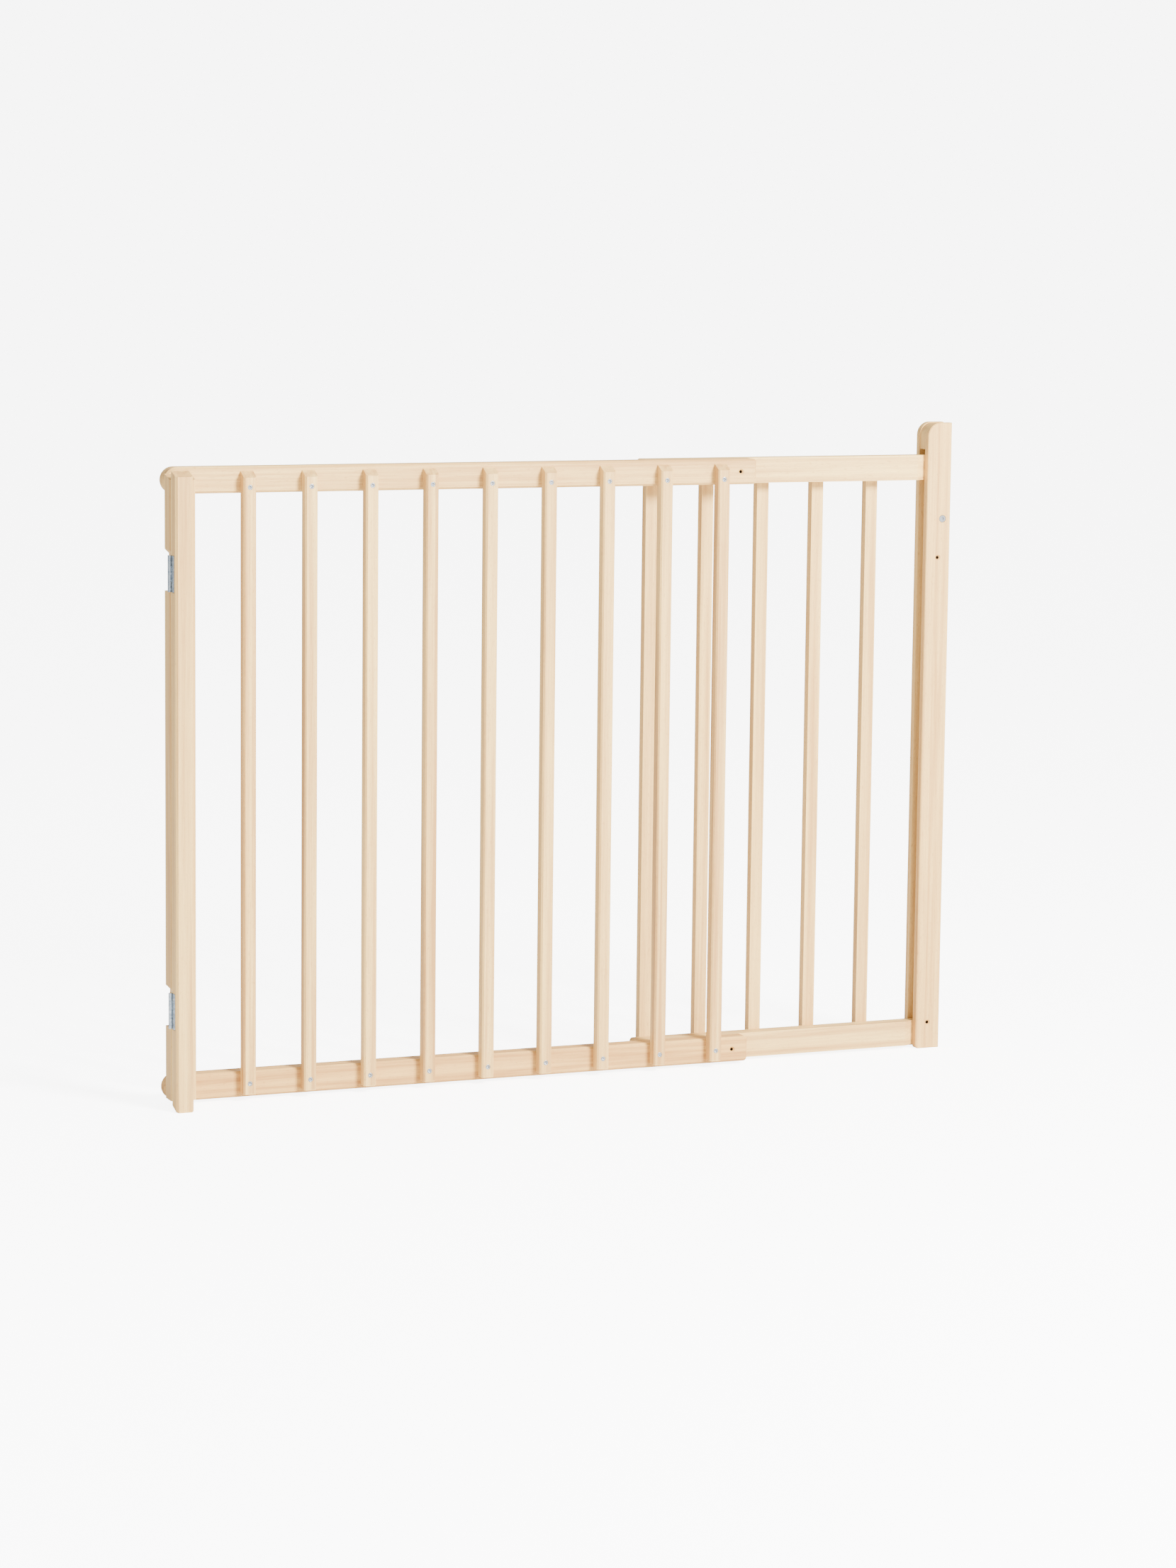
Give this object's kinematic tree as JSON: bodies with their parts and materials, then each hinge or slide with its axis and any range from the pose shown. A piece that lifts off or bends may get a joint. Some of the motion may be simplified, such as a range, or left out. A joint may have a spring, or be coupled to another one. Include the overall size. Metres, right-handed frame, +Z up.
{
  "type": "safety baby gate",
  "caption": "Extending slatted wooden safety gate: two panels slide past each other on tee runners, hinged to a wall batten and closed into a slotted catch post.",
  "frame": {"origin": "on the floor, under the middle of the whole gate's bounding box", "axes": "+X along the gate from the wall batten to the catch post, +Y away from the front face, +Z up"},
  "size_m": [0.997, 0.097, 0.768],
  "materials": {
    "pale_timber": "sanded, clear satin",
    "zinc": "zinc plated",
    "nylon": "natural"
  },
  "bodies": {
    "wall_side": {"wall_batten": "pale_timber", "lower_hinge_wall_leaf": "zinc", "upper_hinge_wall_leaf": "zinc", "lower_hinge_pin": "zinc", "upper_hinge_pin": "zinc", "wall_leaf_screws": "zinc"},
    "front_panel": {"hinge_stile": "pale_timber", "front_top_rail": "pale_timber", "front_bottom_rail": "pale_timber", "front_slat_1": "pale_timber", "front_slat_2": "pale_timber", "front_slat_3": "pale_timber", "front_slat_4": "pale_timber", "front_slat_5": "pale_timber", "front_slat_6": "pale_timber", "front_slat_7": "pale_timber", "front_slat_8": "pale_timber", "front_slat_9": "pale_timber", "front_slat_screws": "zinc", "stile_screws": "zinc", "lower_hinge_gate_leaf": "zinc", "upper_hinge_gate_leaf": "zinc", "gate_leaf_screws": "zinc"},
    "sliding_panel": {"rear_top_rail": "pale_timber", "rear_bottom_rail": "pale_timber", "rear_slat_1": "pale_timber", "rear_slat_2": "pale_timber", "rear_slat_3": "pale_timber", "rear_slat_4": "pale_timber", "rear_slat_5": "pale_timber", "rear_slat_screws": "zinc", "top_runners": "nylon", "bottom_runners": "nylon", "runner_screws": "zinc"},
    "catch_post": {"catch_front_board": "pale_timber", "catch_rear_board": "pale_timber", "catch_top_spacer": "pale_timber", "catch_back_strip": "pale_timber", "catch_bolt": "zinc", "catch_sleeve_nut": "zinc"}
  },
  "joints": [
    {"name": "leaf_swing", "type": "hinge", "parent": "wall_side", "child": "front_panel", "pos_m": [-0.496, -0.02875, 0.3635], "axis": [0, 0, 1], "range_deg": [0, 115]},
    {"name": "panel_slide", "type": "slide", "parent": "front_panel", "child": "sliding_panel", "axis": [1, 0, 0], "range_m": [-0.225, 0.045]},
    {"name": "catch_pull", "type": "slide", "parent": "sliding_panel", "child": "catch_post", "axis": [1, 0, 0], "range_m": [0, 0.03]}
  ]
}
